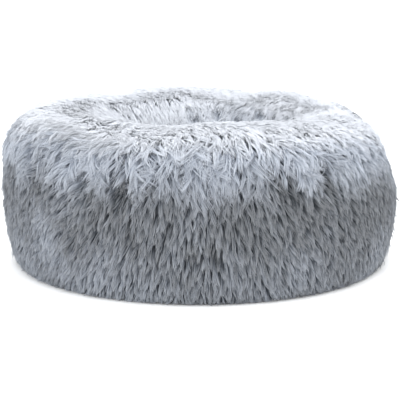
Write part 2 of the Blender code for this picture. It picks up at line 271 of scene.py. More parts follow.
# Nickel plate over tumbled zinc: a soft mirror, hazy in places, with fine scuffs from the tumbling.
nickel, tree, shader = bare_material("nickel-plated zinc, tumbled", 0.3, Metallic=1.0)
place = add(tree, "ShaderNodeTexCoord").outputs["Object"]
haze = add(tree, "ShaderNodeTexNoise", Vector=place, Scale=260.0, Detail=5.0).outputs["Fac"]
colour = add(tree, "ShaderNodeMix", COLOURS, _0=haze, _6=linear("#5E6063"), _7=linear("#96989B"))
tree.links.new(colour.outputs[2], shader.inputs["Base Color"])
rough = add(tree, "ShaderNodeMapRange", Value=haze, To_Min=0.2, To_Max=0.42)
tree.links.new(rough.outputs[0], shader.inputs["Roughness"])
scuff = add(tree, "ShaderNodeTexNoise", Vector=place, Scale=1500.0).outputs["Fac"]
bump = add(tree, "ShaderNodeBump", Height=scuff, Distance=0.00005, Strength=0.4)
tree.links.new(bump.outputs[0], shader.inputs["Normal"])

# The slider: a shield-shaped plate with two flanges over the coils, and a bridge that holds the pull's eye. Its own
# frame has X along the chain towards the open end, Y outwards and Z up.
SLIDER_BEARING, CHAIN_HEIGHT, COIL_FACE = math.radians(133.5), 0.0170, 0.2693
SLIDER_HALF, SLIDER_WIDE, PLATE_LOW, PLATE_HIGH = 0.0064, 0.0042, 0.0004, 0.0017
FLANGE_OFF, FLANGE_RADIUS = 0.00385, 0.00036
BRIDGE_HALF, BRIDGE_TOP, BRIDGE_WIDE = 0.0043, 0.0050, 0.0014
SHARP_EDGE = math.radians(28)
OUTLINE_POINTS = 40


def on_chain(points, out):
    """Points of a slider's own frame, set out from the bed's axis on the closed slider's bearing."""
    x, y, z = np.asarray(points).reshape(-1, 3).T
    c, s = math.cos(SLIDER_BEARING), math.sin(SLIDER_BEARING)
    return np.stack([(out + y) * c + x * s, (out + y) * s - x * c, CHAIN_HEIGHT + z], 1)


def cast_piece(name, grids, out, body, *replaced):
    """One nickel piece of closed lofted parts, with crisp edges only where the casting has them."""
    all_points, all_faces = [], []
    for grid, wrap in grids:
        first = sum(len(each) for each in all_points)
        all_points.append(on_chain(grid, out))
        all_faces += [tuple(first + v for v in face) for face in loft(grid.shape[:2], wrap_rows=wrap)]
    piece = mesh_piece(name, np.concatenate(all_points), all_faces, nickel, body)
    mesh_tools = bmesh.new()
    mesh_tools.from_mesh(piece.data)
    bmesh.ops.recalc_face_normals(mesh_tools, faces=mesh_tools.faces)
    mesh_tools.to_mesh(piece.data)
    mesh_tools.free()
    piece.data.set_sharp_from_angle(angle=SHARP_EDGE)
    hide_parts(*replaced)


angle = np.arange(OUTLINE_POINTS) / OUTLINE_POINTS * 2 * math.pi
c, s = np.cos(angle), np.sin(angle)
shield_x = SLIDER_HALF * np.sign(c) * np.abs(c) ** 0.55
shield_z = SLIDER_WIDE * np.sign(s) * np.abs(s) ** 0.55 * (0.86 + 0.14 * np.tanh(shield_x / 0.0015))
plate = np.stack([np.stack([shield_x * size, np.full(OUTLINE_POINTS, y), shield_z * size], 1)
                  for size, y in ((0.93, PLATE_LOW), (1, PLATE_LOW + 0.0003), (1, PLATE_HIGH - 0.0004),
                                  (0.97, PLATE_HIGH - 0.0001), (0.91, PLATE_HIGH), (0.60, PLATE_HIGH + 0.0001))])
parts = [(plate, False)]
wire_turn = angle[::4]
section = FLANGE_RADIUS * np.stack([np.cos(wire_turn), np.sin(wire_turn)], 1)
for side in (-1, 1):
    flange = np.stack([np.stack([np.full(len(section), x), -0.0006 + 2.6 * section[:, 0],
                                 side * (FLANGE_OFF - 0.0001 * (x < -0.003)) + section[:, 1]], 1)
                       for x in np.linspace(-SLIDER_HALF * 0.9, SLIDER_HALF * 0.9, 9)])
    parts.append((flange, False))
bend = np.linspace(0, math.pi, 15)
bridge_x = -BRIDGE_HALF * np.sign(np.cos(bend)) * np.abs(np.cos(bend)) ** 0.45
bridge_y = PLATE_HIGH - 0.0004 + (BRIDGE_TOP - PLATE_HIGH) * np.sin(bend) ** 0.45
inward = np.stack([-np.sign(bridge_x) * np.abs(np.cos(bend)) ** 0.9, -np.sin(bend) ** 0.9], 1)
across_bar = np.stack([0.5 + 0.5 * np.cos(wire_turn), np.sin(wire_turn)], 1)
bridge = np.stack([np.stack([x + 0.0013 * i[0] * across_bar[:, 0], y + 0.0012 * i[1] * across_bar[:, 0],
                             BRIDGE_WIDE * np.sign(across_bar[:, 1]) * np.abs(across_bar[:, 1]) ** 0.6], 1)
                   for x, y, i in zip(bridge_x, bridge_y, inward)])
parts.append((bridge, False))
cast_piece("zip_slider_casting", parts, COIL_FACE, "zip_slider", "slider_body")


def smooth(low, high, x):
    """0 below low, 1 above high, and a smooth rise between."""
    t = np.clip((x - low) / (high - low), 0, 1)
    return t * t * (3 - 2 * t)


# The pull: a flat die-cast tab with an eye round the bridge at one end and a sunk panel along its middle.
PIVOT_OUT, PULL_LONG, PULL_WIDE, PULL_THICK = 0.27205, 0.0297, 0.0037, 0.00066
EYE_FIRST, EYE_LAST, EYE_WIDE = 0.00075, 0.00545, 0.0020
BEVEL, SUNK_BY, PULL_SPOKES = 0.00025, 0.0003, 96
angle = np.arange(PULL_SPOKES) / PULL_SPOKES * 2 * math.pi
angle = angle - 0.94 * np.sin(angle)  # closer together towards the tab's far end
eye_middle = (EYE_FIRST + EYE_LAST) / 2
eye = np.stack([(EYE_LAST - EYE_FIRST) / 2 * np.sign(np.cos(angle)) * np.abs(np.cos(angle)) ** 0.6,
                EYE_WIDE * np.sign(np.sin(angle)) * np.abs(np.sin(angle)) ** 0.6], 1)
way = eye / np.linalg.norm(eye, axis=1)[:, None]
# Each spoke from the eye's middle is halved down to where it leaves the tab's outline.
near, far = np.zeros(PULL_SPOKES), np.full(PULL_SPOKES, 0.04)
half = (PULL_LONG + 0.0007) / 2
for _ in range(40):
    try_at = (near + far) / 2
    x = eye_middle + way[:, 0] * try_at
    inside = (np.abs((x - half + 0.0007) / half) ** 7
              + np.abs(way[:, 1] * try_at / (PULL_WIDE * (0.84 + 0.16 * np.tanh(x / 0.006)))) ** 5) < 1
    near, far = np.where(inside, try_at, near), np.where(inside, far, try_at)
rim = way * near[:, None]
web = np.linalg.norm(rim - eye, axis=1)
sunk = PULL_THICK - SUNK_BY * smooth(0.0026, 0.0045, web)
edge, collar = np.minimum(BEVEL / web, 0.2), np.minimum(0.0009 / web, 0.40)
panel = np.maximum(1 - 0.0008 / web, 0.60)
tab = np.stack([np.stack([eye_middle + eye[:, 0] + (rim - eye)[:, 0] * t, y + 0 * web,
                          eye[:, 1] + (rim - eye)[:, 1] * t], 1)
                for t, y in ((0, BEVEL - PULL_THICK), (edge, -PULL_THICK), (1 - edge, -PULL_THICK),
                             (1, BEVEL - PULL_THICK), (1, PULL_THICK - BEVEL), (1 - edge, PULL_THICK),
                             (panel, PULL_THICK), (panel - 0.02, sunk), (collar + 0.02, sunk),
                             (collar, PULL_THICK), (edge, PULL_THICK), (0, PULL_THICK - BEVEL))])
cast_piece("zip_pull_tab", [(tab, True)], PIVOT_OUT, "zip_pull", "pull_tab")

# The end stops: short strips of the same metal, crimped over both coils with a waist in the middle.
STOP_OUT, STOP_THICK, STOP_HIGH, STOP_SIDES = 0.26860, 0.00155, 0.00350, 24
STOP_SIZES = (0.80, 0.93, 1, 0.97, 0.94, 0.97, 1, 0.93, 0.80)
section = np.arange(STOP_SIDES) / STOP_SIDES * 2 * math.pi
c, s = np.cos(section), np.sin(section)
for name, first in (("open", 43.25), ("closed", 135.65)):
    stop_points = []
    for turned, size in zip(np.linspace(0.02, 1.08, len(STOP_SIZES)), STOP_SIZES):
        r = STOP_OUT + STOP_THICK * size * np.sign(c) * np.abs(c) ** 0.5
        z = CHAIN_HEIGHT + STOP_HIGH * size * np.sign(s) * np.abs(s) ** 0.5
        at = math.radians(first + turned)
        stop_points.append(np.stack([r * math.cos(at), r * math.sin(at), z], 1))
    piece = mesh_piece(f"zip_end_stop_{name}", np.concatenate(stop_points), loft((len(STOP_SIZES), STOP_SIDES)),
                       nickel, "bed")
    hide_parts(f"zip_stop_{name}")

# ---- Bolster fur --------------------------------------------------------------------------------------------------
# Long-pile polyester faux fur on a knitted back. The pile is dyed grey and frosted pale at its tips. It is combed
# off the crest both ways: down the outer wall to the floor, and down the well's wall to the cushion.
OUTER, HEIGHT, WELL, BELT, WAIST = 0.300, 0.236, 0.140, 0.118, 0.125
FOOT_TUCK, WELL_FLARE, CREST_SHARE = 0.017, 0.010, 0.47
SHOULDER, BROW = 2.6, 2.3  # how square the curve is over the shoulder and over the well's brow
PILE = 0.014
CREST_RUN = 0.286  # how far the crest is along the outline, from the foot of the outer wall
FRONT = -math.pi / 2


def superellipse(centre, size, power, start, end, count):
    """Points of part of an oval between two angles in degrees, squarer the higher its power."""
    angle = np.radians(np.linspace(start, end, count))
    c, s = np.cos(angle), np.sin(angle)
    return np.stack([centre[0] + size[0] * np.sign(c) * np.abs(c) ** (2 / power),
                     centre[1] + size[1] * np.sign(s) * np.abs(s) ** (2 / power)], 1)


def evened(path, step):
    """The path with its points a step apart, and its length at each."""
    run = np.concatenate([[0], np.cumsum(np.linalg.norm(np.diff(path, axis=0), axis=1))])
    at = np.linspace(0, run[-1], int(run[-1] / step) + 1)
    return np.stack([np.interp(at, run, path[:, 0]), np.interp(at, run, path[:, 1])], 1), at


crest = WELL + (OUTER - WELL) * CREST_SHARE
foot_z = np.linspace(0.001, BELT, 24)
foot = np.stack([OUTER - FOOT_TUCK * (1 - foot_z / BELT) ** 2, foot_z], 1)
shoulder = superellipse((crest, BELT), (OUTER - crest, HEIGHT - BELT), SHOULDER, 0, 90, 60)
brow = superellipse((crest, WAIST), (crest - WELL, HEIGHT - WAIST), BROW, 90, 180, 60)
flare_z = np.linspace(WAIST, 0.004, 24)
flare = np.stack([WELL + WELL_FLARE * (1 - flare_z / WAIST) ** 2, flare_z], 1)
outline = np.concatenate([foot, shoulder[1:], brow[1:], flare[1:]])


class Skin:
    """A turned surface: a profile by run along it, with lumps, that places a point by run, turn and lift."""

    def __init__(self, profile, inset, lumps):
        path, self.run = evened(profile, 0.001)
        along = np.gradient(path, axis=0)
        for _ in range(12):
            along[1:-1] = (along[:-2] + 2 * along[1:-1] + along[2:]) / 4
        along /= np.linalg.norm(along, axis=1)[:, None]
        self.out = np.stack([along[:, 1], -along[:, 0]], 1)
        self.along = along
        self.path = path - self.out * inset
        self.length = self.run[-1]
        self.lumps = lumps

    def at(self, table, run):
        """A row of one of the skin's tables, read between its points."""
        return np.stack([np.interp(run, self.run, table[:, 0]), np.interp(run, self.run, table[:, 1])], -1)

    def radius(self, run):
        """How far the skin is from the bed's axis."""
        return np.interp(run, self.run, self.path[:, 0])

    def place(self, run, turn, lift):
        """The point that stands a lift off the skin, and the way straight out of the skin there."""
        inside = np.clip(run, 0, self.length)
        flat = self.at(self.path, inside)
        out = self.at(self.out, inside)
        flat = flat + self.at(self.along, inside) * (run - inside)[..., None]
        flat = flat + out * (lift + self.lumps(inside, turn))[..., None]
        r = flat[..., 0]
        where = np.stack([r * np.cos(turn), r * np.sin(turn), flat[..., 1]], -1)
        normal = np.stack([out[..., 0] * np.cos(turn), out[..., 0] * np.sin(turn), out[..., 1]], -1)
        return where, normal


def waves(seed, count, turns, runs):
    """A smooth random field over turn and run, from -1 to 1: a sum of waves that close round the bed."""
    rng = np.random.default_rng(seed)
    m = rng.integers(turns[0], turns[1] + 1, count) * rng.choice([-1, 1], count)
    k = rng.uniform(runs[0], runs[1], count)
    phase = rng.uniform(0, 2 * math.pi, count)
    size = rng.uniform(0.5, 1.0, count)

    def field(run, turn):
        """The sum of the waves at a run and turn."""
        total = 0
        for mm, kk, pp, ss in zip(m, k, phase, size):
            total = total + ss * np.cos(mm * turn + kk * run + pp)
        return total / size.sum() * 1.9  # brings the sum of many waves back to about -1 to 1

    return field


# Creases where the cover is gathered over the stuffing: degrees right of the front, depth, and half width in degrees.
CREASES = ((-33, 0.006, 5), (-21.5, 0.006, 4), (-13, 0.005, 5), (21, 0.009, 3.5), (34, 0.007, 4),
           (-75, 0.006, 6), (62, 0.006, 5), (95, 0.006, 6), (128, 0.007, 5), (160, 0.006, 6), (-112, 0.007, 5),
           (-146, 0.006, 6))
# The stuffing has settled on the right, where the shoulder slopes, and stands square on the left, in the same terms.
SETTLED = ((84, 0.017, 38), (-92, -0.003, 40), (150, -0.004, 34), (-150, -0.002, 40))
# Partings where the locks fall apart and shade shows between them, real in the pile's gaps and painted darker in its
# tone: degrees right of the front, run, half its length, half its width in degrees, and how far it opens. The first
# stand on the front; then come those round the sides and back, and those inside the well.
PARTINGS = [(-30.5, 0.180, 0.020, 1.5, 0.8), (-21.0, 0.178, 0.026, 1.5, 1.0), (-13.2, 0.194, 0.016, 1.2, 0.9),
            (-6.0, 0.190, 0.014, 1.3, 0.5), (20.0, 0.190, 0.030, 1.3, 1.0), (23.5, 0.172, 0.020, 1.6, 0.9),
            (34.0, 0.183, 0.022, 1.6, 0.9), (45.0, 0.195, 0.022, 1.6, 0.7), (-1.2, 0.084, 0.010, 1.3, 0.7),
            (4.0, 0.084, 0.013, 1.2, 0.8), (-17.0, 0.106, 0.010, 1.2, 0.6), (-44.0, 0.190, 0.020, 1.6, 0.6)]
spread_rng = np.random.default_rng(8)
PARTINGS += [(bearing + spread_rng.uniform(-4, 4), spread_rng.uniform(0.165, 0.21),
              spread_rng.uniform(0.014, 0.028), 1.5, spread_rng.uniform(0.5, 1.0)) for bearing in range(58, 312, 11)]
PARTINGS += [(bearing, middle, 0.014, 2.6, 0.85) for bearing, middle in (
    (118, 0.345), (131, 0.352), (143, 0.340), (156, 0.354), (169, 0.343), (184, 0.352))]
big_lumps = waves(3, 9, (2, 6), (0, 16))
small_lumps = waves(5, 14, (9, 22), (10, 50))


def turned_from(turn, degrees):
    """Degrees of turn right of a bearing, from -180 to 180."""
    return (np.degrees(turn - FRONT) - degrees + 180) % 360 - 180


def bolster_lumps(run, turn):
    """How far the stuffed cover stands out from the smooth ring."""
    rise = smooth(0.03, 0.16, run) * (1 - smooth(CREST_RUN + 0.10, CREST_RUN + 0.17, run))
    total = rise * (0.0030 * big_lumps(run, turn) + 0.0020 * small_lumps(run, turn))
    slope = smooth(0.10, 0.19, run) * (1 - smooth(CREST_RUN - 0.03, CREST_RUN + 0.03, run))
    for bearing, depth, half in SETTLED:
        total = total - depth * slope * np.exp(-(turned_from(turn, bearing) / half) ** 2)
    # At the back the cover is let in behind the zip.
    at_back = 1 - smooth(52.5, 54.5, np.abs(turned_from(turn, 180)))
    total = total - at_back * (1 - smooth(0.0285, 0.0305, run)) * (0.0045 + 0.26 * np.minimum(run, 0.03))
    hold = smooth(CREST_RUN - 0.17, CREST_RUN - 0.09, run) * (1 - smooth(CREST_RUN - 0.03, CREST_RUN + 0.02, run))
    for bearing, depth, half in CREASES:
        total = total - depth * hold * np.exp(-(turned_from(turn, bearing) / half) ** 2)
    return total


bolster = Skin(outline, PILE, bolster_lumps)


def scattered(rng, skin, count, first, last, density):
    """Roots spread evenly by area between two runs, as run and turn."""
    runs = np.linspace(first, last, 400)
    share = skin.radius(runs) * density(runs)
    total = np.cumsum(share)
    run = np.interp(rng.uniform(0, total[-1], count), total, runs)
    return run, rng.uniform(0, 2 * math.pi, count)


def nearest_lock(rng, skin, run, turn, across, along):
    """The lock each root belongs to, the nearest of a grid of jittered centres: its index, run and turn, and how
    many locks there are."""
    rows = int(skin.length / along) + 3
    best = np.full(run.shape, 1e9)
    index = np.zeros(run.shape, int)
    c_run, c_turn = np.zeros(run.shape), np.zeros(run.shape)
    columns = np.maximum(6, (2 * math.pi * skin.radius((np.arange(rows) - 0.5) * along) / across).astype(int))
    first = np.concatenate([[0], np.cumsum(columns)])
    jitter = rng.uniform(-0.45, 0.45, (first[-1], 2))
    radius = skin.radius(run)
    for dr in (-1, 0, 1):
        row = np.clip((run / along).astype(int) + 1 + dr, 0, rows - 1)
        for dc in (-1, 0, 1):
            column = (np.floor(turn / (2 * math.pi) * columns[row]).astype(int) + dc)
            which = first[row] + column % columns[row]
            at_run = (row - 0.5 + jitter[which, 0]) * along
            at_turn = (column + 0.5 + jitter[which, 1]) / columns[row] * 2 * math.pi
            far = ((at_run - run) / along) ** 2 + ((at_turn - turn) * radius / across) ** 2
            near = far < best
            best = np.where(near, far, best)
            index = np.where(near, which, index)
            c_run = np.where(near, at_run, c_run)
            c_turn = np.where(near, at_turn, c_turn)
    return index, c_run, c_turn, first[-1]


# A strand: where its rings and its tip are along it, how thick each ring is, and how far it is shaded as the skin
# that it lies on, because fine fibres pass light on to each other. Each stands for a thin lock of fibres, since
# single fibres are too fine to show.
STEPS = np.array([0.0, 0.36, 0.72, 1.0])
THICK = np.array([0.8, 1.0, 0.75])
RINGS = len(THICK)
SHADED_AS_SKIN = 0.8


def strand_mesh(name, points, normals, radius, tone):
    """A closed three-sided tapering tube per strand, whose UV holds its tone and the place along it."""
    n = len(points)
    along = np.gradient(points, axis=1)
    along /= np.linalg.norm(along, axis=2)[..., None] + 1e-12
    side = np.cross(along, normals)
    side /= np.linalg.norm(side, axis=2)[..., None] + 1e-12
    up = np.cross(side, along)
    width = radius[:, None] * THICK[None]
    angle = 2 * math.pi * np.arange(3) / 3 + math.pi / 2
    ring = (points[:, :RINGS, None] + width[..., None, None]
            * (np.cos(angle)[:, None] * up[:, :RINGS, None] + np.sin(angle)[:, None] * side[:, :RINGS, None]))
    each = 3 * RINGS + 1
    co = np.concatenate([ring.reshape(n, 3 * RINGS, 3), points[:, RINGS:RINGS + 1]], 1).reshape(-1, 3)
    quads = [[3 * k + j, 3 * k + (j + 1) % 3, 3 * k + 3 + (j + 1) % 3, 3 * k + 3 + j]
             for k in range(RINGS - 1) for j in range(3)]
    tips = [[3 * (RINGS - 1) + j, 3 * (RINGS - 1) + (j + 1) % 3, 3 * RINGS] for j in range(3)] + [[2, 1, 0]]
    one = np.array(sum(quads, []) + sum(tips, []))
    sizes = np.array([4] * len(quads) + [3] * len(tips))
    u1 = np.array(sum(([j, j + 1, j + 1, j] for _ in range(RINGS - 1) for j in range(3)), [])
                  + sum(([j, j + 1, j + 0.5] for j in range(3)), []) + [2, 1, 0], float)
    v1 = np.array(sum(([STEPS[k], STEPS[k], STEPS[k + 1], STEPS[k + 1]] for k in range(RINGS - 1)
                       for j in range(3)), [])
                  + [STEPS[RINGS - 1], STEPS[RINGS - 1], 1.0] * 3 + [0.0, 0.03, 0.0], float)
    mesh = bpy.data.meshes.new(name)
    mesh.vertices.add(len(co))
    mesh.vertices.foreach_set("co", co.astype(np.float32).ravel())
    loops = (one[None] + each * np.arange(n)[:, None]).ravel()
    mesh.loops.add(len(loops))
    mesh.loops.foreach_set("vertex_index", loops.astype(np.int32))
    starts = (np.concatenate([[0], np.cumsum(sizes)[:-1]])[None] + len(one) * np.arange(n)[:, None]).ravel()
    mesh.polygons.add(len(starts))
    mesh.polygons.foreach_set("loop_start", starts.astype(np.int32))
    mesh.polygons.foreach_set("use_smooth", np.ones(len(starts), bool))
    mesh.update(calc_edges=True)
    uv = np.stack([0.02 + 0.93 * tone[:, None] + 0.01 * u1[None],
                   np.broadcast_to(0.01 + 0.98 * v1, (n, len(v1)))], -1)
    layer = mesh.uv_layers.new(name="OFBake")
    layer.data.foreach_set("uv", uv.astype(np.float32).ravel())
    own_normal = np.empty(len(mesh.vertices) * 3, np.float32)
    mesh.vertices.foreach_get("normal", own_normal)
    shaded = (1 - SHADED_AS_SKIN) * own_normal.reshape(-1, 3) \
        + SHADED_AS_SKIN * np.repeat(normals[:, :1], each, axis=1).reshape(-1, 3)
    shaded /= np.linalg.norm(shaded, axis=1)[:, None]
    mesh.normals_split_custom_set_from_vertices(shaded.astype(np.float32))
    piece = bpy.data.objects.new(name, mesh)
    bpy.context.scene.collection.objects.link(piece)
    return piece


def fur_material(name, ramps):
    """Frosted polyester pile: a satin fibre, darker at its root than at its tip, with a ramp for each tone."""
    material, tree, shader = bare_material(name, 0.55, Specular_IOR_Level=0.25)
    uv = add(tree, "ShaderNodeUVMap", {"uv_map": "OFBake"})
    split = add(tree, "ShaderNodeSeparateXYZ", _0=uv.outputs[0])
    colour = None
    for step, stops in enumerate(ramps):
        ramp = add(tree, "ShaderNodeValToRGB", _0=split.outputs[1])
        while len(ramp.color_ramp.elements) < len(stops):
            ramp.color_ramp.elements.new(0.5)
        for element, (place, tint) in zip(ramp.color_ramp.elements, stops):
            element.position = place
            element.color = linear(tint)
        if colour is None:
            colour = ramp.outputs[0]
        else:
            share = add(tree, "ShaderNodeMapRange", {"clamp": True}, Value=split.outputs[0],
                        From_Min=(step - 1) / (len(ramps) - 1), From_Max=step / (len(ramps) - 1))
            colour = add(tree, "ShaderNodeMix", COLOURS, _0=share.outputs[0], _6=colour,
                         _7=ramp.outputs[0]).outputs[2]
    tree.links.new(colour, shader.inputs["Base Color"])
    return material


# From root to tip, as share of the length and colour: on the lower wall, under the shoulder, and on the crest. The
# wall's and fringe's ramps are darker than the crest's partly as painted shade, and the crest's is paler partly as
# painted light. The crest's pale roots are painted light over the shade between its strands.
WALL_RAMP = ((0.0, "#151719"), (0.42, "#2F3235"), (0.66, "#595B5E"), (1.0, "#818385"))
FRINGE_RAMP = ((0.0, "#343944"), (0.36, "#6F7682"), (0.62, "#9FA6B1"), (1.0, "#C6CCD6"))
TOP_RAMP = ((0.0, "#BAC0C9"), (0.30, "#C6CBD3"), (0.60, "#CFD3DA"), (1.0, "#D8DBE1"))
long_fur = fur_material("frosted faux fur pile", (WALL_RAMP, FRINGE_RAMP, TOP_RAMP))

# Fields that bend the lie of the pile, move the line where it parts on the crest, turn it more or less round the bed
# there, and vary its tone.
lean_noise = waves(11, 14, (4, 13), (5, 30))
fine_lean = waves(12, 20, (12, 40), (20, 90))
part_noise = waves(13, 8, (2, 7), (0, 1))
round_noise = waves(14, 7, (2, 5), (0, 1))
tone_noise = waves(15, 16, (5, 24), (8, 50))


def opened(run, turn):
    """How far the pile is parted, from 0 to 1, and which way each side leans from the parting."""
    share, push = 0 * run, 0 * run
    for bearing, middle, reach, half, depth in PARTINGS:
        gap = turned_from(turn, bearing - 60 * (run - middle))
        along = np.exp(-((run - middle) / reach) ** 2)
        share = share + depth * along * np.exp(-(gap / half) ** 2)
        push = push + depth * along * (gap / half) * np.exp(-0.5 * (gap / (1.6 * half)) ** 2)
    return np.clip(share, 0, 1), push


def comb(run, turn):
    """The way the pile lies, as its share along the run and its share round the bed."""
    parting = CREST_RUN + 0.012 + 0.018 * part_noise(run, turn)
    over = math.pi * smooth(-0.045, 0.045, run - parting)
    # The crest's pile lies one way round; on the front it fans out to both sides as it comes down the wall.
    right = turned_from(turn, 0)
    hand = 0.8 + 0.2 * round_noise(0 * run, turn)
    fan = 0.5 * np.sin(np.radians(np.clip(right, -90, 90) * 2)) * (1 - smooth(0.22, 0.28, run))
    wall = 1 - np.sin(over)
    loose = smooth(0.12, 0.21, run)
    angle = (0.12 + 0.42 * loose) * lean_noise(run, turn) + (0.08 + 0.08 * loose) * fine_lean(run, turn)
    along = -np.cos(over)
    across = hand * np.sin(over) + wall * fan
    across = across + 0.45 * opened(run, turn)[1]
    c, s = np.cos(angle), np.sin(angle)
    along, across = along * c - across * s, along * s + across * c
    size = np.hypot(along, across) + 1e-9
    return along / size, across / size


# Locks of strands that lie together, and tufts of locks, each as width and length.
STRANDS, PIECE_STRANDS = 190000, 12400
LOCK, TUFT = (0.0035, 0.0108), (0.0115, 0.0260)
LONG, HIGH = 0.029, 0.0125  # a usual strand's length, and how high its tip stands
rng = np.random.default_rng(21)
run, turn = scattered(rng, bolster, STRANDS, 0.002, bolster.length - 0.01,
                      lambda r: 1.15 - 0.55 * smooth(CREST_RUN + 0.12, CREST_RUN + 0.16, r))
lock, lock_run, lock_turn, locks = nearest_lock(rng, bolster, run, turn, *LOCK)
lock_random = rng.uniform(-1, 1, (locks, 5))[lock]
tuft, tuft_run, tuft_turn, tufts = nearest_lock(rng, bolster, run, turn, *TUFT)
tuft_random = rng.uniform(-1, 1, (tufts, 3))[tuft]
own = rng.uniform(-1, 1, (STRANDS, 5))
# The pile's zones: the well's lower wall, the fringe under the shoulder, the crown and the foot.
inner = smooth(CREST_RUN + 0.08, CREST_RUN + 0.16, run)
fringe = smooth(0.165, 0.200, run) * (1 - smooth(0.225, 0.260, run))
crown_zone = smooth(0.23, 0.27, run)
off_foot = smooth(0, 0.05, run)
length = (LONG + 0.016 * fringe + 0.005 * lock_random[:, 0] + 0.003 * own[:, 0]) * (1 - 0.40 * inner)
length *= 0.55 + 0.45 * off_foot
height = (HIGH + (0.0030 - 0.0018 * crown_zone) * lock_random[:, 1] + 0.0018 * own[:, 1]
          + 0.003 * fringe * tuft_random[:, 0])
# On the well's wall the pile is as high as the room it has beside the cushion.
to_well = np.maximum(bolster.radius(run) - 0.1405, 0.004)
height = height * (1 - inner) + inner * to_well * (0.76 + 0.16 * lock_random[:, 1] + 0.10 * own[:, 1])
height *= (0.72 + 0.28 * off_foot)
parted = opened(run, turn)[0]
height *= 1 - 0.75 * parted
length *= 1 - 0.25 * parted
stray = rng.random(STRANDS) < 0.03 - 0.02 * crown_zone
height = height * np.where(stray, 1.35, 1.0)
gather = np.where(stray, 0.1, 0.72 + 0.18 * lock_random[:, 2] - 0.48 * crown_zone)
tufted = 0.05 + 0.30 * fringe
twist = ((0.11 + 0.14 * smooth(0.12, 0.2, run) * (1 - 0.6 * crown_zone)) * lock_random[:, 3]
         + 0.18 * fringe * tuft_random[:, 1])
sway = 0.09 * own[:, 2]


def grown(skin, roots, leads, comb, pile, length, height, twist, sway):
    """Points, normals and runs along every strand: it leans as the pile is combed and is drawn in to its leads."""
    paths = []
    for start_run, start_turn, bend_by in ((*roots, twist + sway), *((lead[0], lead[1], twist) for lead in leads)):
        way = comb(start_run, start_turn)
        bend = bend_by[:, None] * (1 + 1.6 * STEPS[None])
        along = way[0][:, None] * np.cos(bend) - way[1][:, None] * np.sin(bend)
        across = way[0][:, None] * np.sin(bend) + way[1][:, None] * np.cos(bend)
        reach = length[:, None] * STEPS[None] ** 1.15 * 0.93
        radius = skin.radius(start_run)[:, None] + pile * 0.7
        paths.append((start_run[:, None] + reach * along, start_turn[:, None] + reach * across / radius))
    at_run, at_turn = paths[0]
    for (_, _, draw), (lead_run, lead_turn) in zip(leads, paths[1:]):
        pull = draw[:, None] * STEPS[None] ** 1.1
        at_run = at_run + (lead_run - at_run) * pull
        at_turn = at_turn + (lead_turn - at_turn) * pull
    lift = height[:, None] * (1 - (1 - STEPS[None]) ** 2.2) - 0.0012
    return (*skin.place(at_run, at_turn, lift), at_run)


points, normals, at_run = grown(bolster, (run, turn), ((lock_run, lock_turn, gather), (tuft_run, tuft_turn, tufted)),
                                comb, PILE, length, height, twist, sway)

# The tips that reach the floor splay outwards along it, and the pile in the well keeps off the cushion's way up.
FLOOR_CLEAR, SPLAY_LIMIT, WELL_CLEAR = 0.0016, 0.313, 0.1402
low = np.maximum(FLOOR_CLEAR - points[..., 2], 0)
spread = np.hypot(points[..., 0], points[..., 1])
wanted = np.minimum(spread + 0.15 * low, SPLAY_LIMIT)
wanted = np.where(at_run > CREST_RUN + 0.03, np.maximum(wanted, WELL_CLEAR), wanted)
points[..., :2] *= (wanted / spread)[..., None]
points[..., 2] = np.maximum(points[..., 2], FLOOR_CLEAR) + 0.0006 * (low > 0) * own[:, 3:4]

# At the back the pile is trimmed to a ragged edge above the zip and at its two ends, so the slider runs free.
ZIP_HALF_ARC, TRIM_HEIGHT = 52.2, 0.0238
from_back = np.abs((np.degrees(turn) - 90 + 180) % 360 - 180)
at_zip = (from_back < ZIP_HALF_ARC + 0.8 * lock_random[:, 2]) & (run < 0.1)
above_zip = TRIM_HEIGHT + 0.0012 * lock_random[:, 3]
lowest, root_z = points[..., 2].min(1), points[:, 0, 2]
keep = ~(at_zip & (points[:, -1, 2] < above_zip) & (run < 0.03))
shrink = np.where(at_zip & (lowest < above_zip),
                  np.clip((root_z - above_zip) / np.maximum(root_z - lowest, 1e-6), 0, 1), 1)
keep &= shrink > 0.15
points = points[:, :1] + (points - points[:, :1]) * shrink[:, None, None]

# Tone: 0 on the dark lower wall, 1 on the frosted crest. The rise from wall to crest is partly the pile's frosting,
# and partly painted shade on the walls and painted light on the crest. Over it come several things: painted light on
# the flanks and the foot, painted shade in the well and the partings, a darker fringe right of the front, and tone
# that varies at random by lock and strand.
from_front = turned_from(turn, 0)
# Painted light: the flanks are lighter, most on the left front, as if lit by light wrapping round from the white
# surroundings. 42 degrees right of the front the wall is a little darker.
painted_flank_light = (0.12 * np.exp(-((from_front + 58) / 34) ** 2) + 0.15 * smooth(66, 92, np.abs(from_front))
             - 0.04 * np.exp(-((from_front - 42) / 26) ** 2))
# Painted light: on the right the crest's pale tone reaches further down the wall, where the shoulder slopes.
frost_and_painted_light_run = run + 0.016 * smooth(50, 78, from_front) * (1 - smooth(120, 170, from_front))
